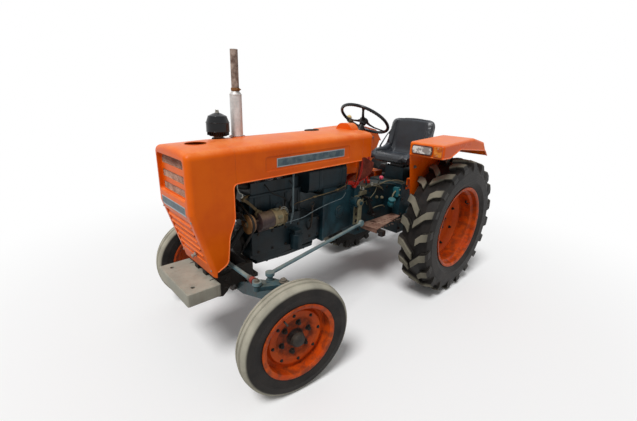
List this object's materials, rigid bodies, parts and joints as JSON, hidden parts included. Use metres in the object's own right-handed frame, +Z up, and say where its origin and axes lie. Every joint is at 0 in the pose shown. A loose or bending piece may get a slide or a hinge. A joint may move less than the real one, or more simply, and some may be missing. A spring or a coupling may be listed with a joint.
{
  "type": "vintage farm tractor",
  "caption": "Vintage narrow-hood farm tractor with open engine, steered front axle, lugged rear wheels, fenders, seat and rear lift links.",
  "frame": {"origin": "on the ground under the middle of the tractor's overall box", "axes": "+Z up, -Y towards the front of the tractor, +X towards its left side"},
  "size_m": [1.341, 2.615, 1.705],
  "materials": {
    "body_paint": "aged orange enamel",
    "rim_paint": "weathered orange-red enamel",
    "chassis_paint": "oily blue-green enamel",
    "engine_paint": "oily blue-green enamel",
    "rod_paint": "worn blue-green enamel",
    "frame_paint": "black enamel with rust",
    "weight_iron": "grey paint over cast iron",
    "grille_steel": "dull mesh",
    "radiator_black": "dull black",
    "pulley_steel": "rusty steel",
    "generator_case": "brown-black, dusty",
    "column_black": "black enamel",
    "seat_vinyl": "blue-black vinyl",
    "lamp_housing": "clear lens in a dark bezel",
    "marker_lens": "amber lens",
    "stack_steel": "aluminium paint, rusty pipe",
    "cleaner_black": "gloss black",
    "step_steel": "rusty plate",
    "lever_red": "red enamel",
    "link_steel": "worn steel",
    "wheel_black": "black moulded rim",
    "tyre": "dusty rubber"
  },
  "bodies": {
    "chassis": {"front_frame": "frame_paint", "front_weight": "weight_iron", "front_axle": "chassis_paint", "nose_cowl": "body_paint", "grille_mesh": "grille_steel", "radiator": "radiator_black", "hood": "body_paint", "dash_panel": "body_paint", "fan_and_belt": "pulley_steel", "engine_block": "engine_paint", "generator": "generator_case", "fuel_tank": "engine_paint", "clutch_housing": "chassis_paint", "transmission_case": "chassis_paint", "steering_column": "column_black", "seat": "seat_vinyl", "seat_bracket": "column_black", "fender_left": "body_paint", "fender_right": "body_paint", "headlamps": "lamp_housing", "marker_lamps": "marker_lens", "exhaust_stack": "stack_steel", "air_cleaner": "cleaner_black", "foot_plates": "step_steel", "pedals": "column_black", "levers": "lever_red", "drawbar": "frame_paint"},
    "knuckle_left": {"knuckle_left": "chassis_paint"},
    "knuckle_right": {"knuckle_right": "chassis_paint"},
    "front_wheel_left": {"front_rim_left": "rim_paint", "front_tyre_left": "tyre"},
    "front_wheel_right": {"front_rim_right": "rim_paint", "front_tyre_right": "tyre"},
    "rear_wheel_left": {"rear_rim_left": "rim_paint", "rear_tyre_left": "tyre"},
    "rear_wheel_right": {"rear_rim_right": "rim_paint", "rear_tyre_right": "tyre"},
    "tie_rod": {"tie_rod": "rod_paint"},
    "drag_link": {"drag_link": "rod_paint"},
    "pitman_arm": {"pitman_arm": "chassis_paint"},
    "steering_wheel": {"steering_wheel": "wheel_black"},
    "lift_arms": {"lift_arms": "chassis_paint"},
    "lift_rods": {"lift_rods": "link_steel"},
    "lower_links": {"lower_links": "link_steel"}
  },
  "joints": [
    {"name": "steer_left", "type": "hinge", "parent": "chassis", "child": "knuckle_left", "pos_m": [0.455, -0.9075, 0.54], "axis": [0, 0, 1], "range_deg": [-27, 43]},
    {"name": "steer_right", "type": "hinge", "parent": "chassis", "child": "knuckle_right", "pos_m": [-0.455, -0.9075, 0.54], "axis": [0, 0, 1], "range_deg": [-28, 44]},
    {"name": "tie_rod_ball", "type": "hinge", "parent": "knuckle_left", "child": "tie_rod", "pos_m": [0.39744, -1.02968, 0.58], "axis": [0, 0, 1], "range_deg": [-47.91, 30.46]},
    {"name": "drag_link_ball", "type": "hinge", "parent": "knuckle_left", "child": "drag_link", "pos_m": [0.38734, -0.94343, 0.6], "axis": [0, 0, 1], "range_deg": [-42.06, 26.79]},
    {"name": "pitman_swing", "type": "hinge", "parent": "chassis", "child": "pitman_arm", "pos_m": [0.2, -0.0045, 0.754], "axis": [1, 0, 0], "range_deg": [-19.36, 12.53]},
    {"name": "steering_turn", "type": "hinge", "parent": "chassis", "child": "steering_wheel", "pos_m": [0, 0.1875, 1.323], "axis": [0, 0.5519, 0.8339], "range_deg": [-408, 648]},
    {"name": "front_spin_left", "type": "hinge", "parent": "knuckle_left", "child": "front_wheel_left", "pos_m": [0.57878, -0.9249, 0.312], "axis": [0.9903, -0.1392, 0], "continuous": true},
    {"name": "front_spin_right", "type": "hinge", "parent": "knuckle_right", "child": "front_wheel_right", "pos_m": [-0.57878, -0.8901, 0.312], "axis": [0.9903, -0.1392, 0], "continuous": true},
    {"name": "rear_spin_left", "type": "hinge", "parent": "chassis", "child": "rear_wheel_left", "pos_m": [0.525, 0.6875, 0.532], "axis": [1, 0, 0], "continuous": true},
    {"name": "rear_spin_right", "type": "hinge", "parent": "chassis", "child": "rear_wheel_right", "pos_m": [-0.525, 0.6875, 0.532], "axis": [1, 0, 0], "continuous": true},
    {"name": "lower_link_swing", "type": "hinge", "parent": "chassis", "child": "lower_links", "pos_m": [0, 0.7595, 0.4], "axis": [1, 0, 0], "range_deg": [-20, 35]},
    {"name": "lift_arm_swing", "type": "hinge", "parent": "chassis", "child": "lift_arms", "pos_m": [0, 0.7595, 0.86], "axis": [1, 0, 0], "range_deg": [-21, 36]},
    {"name": "lift_rod_swing", "type": "hinge", "parent": "lift_arms", "child": "lift_rods", "pos_m": [0, 1.03797, 0.83073], "axis": [1, 0, 0], "range_deg": [-36, 21]}
  ],
  "couplings": [
    {"joint": "steer_right", "follows": "steer_left", "ratio": 1},
    {"joint": "tie_rod_ball", "follows": "steer_left", "ratio": -1.091},
    {"joint": "drag_link_ball", "follows": "steer_left", "ratio": -0.955},
    {"joint": "pitman_swing", "follows": "steer_left", "ratio": -0.427},
    {"joint": "steering_turn", "follows": "steer_left", "ratio": 15},
    {"joint": "lift_arm_swing", "follows": "lower_link_swing", "ratio": 1},
    {"joint": "lift_rod_swing", "follows": "lower_link_swing", "ratio": -1}
  ]
}
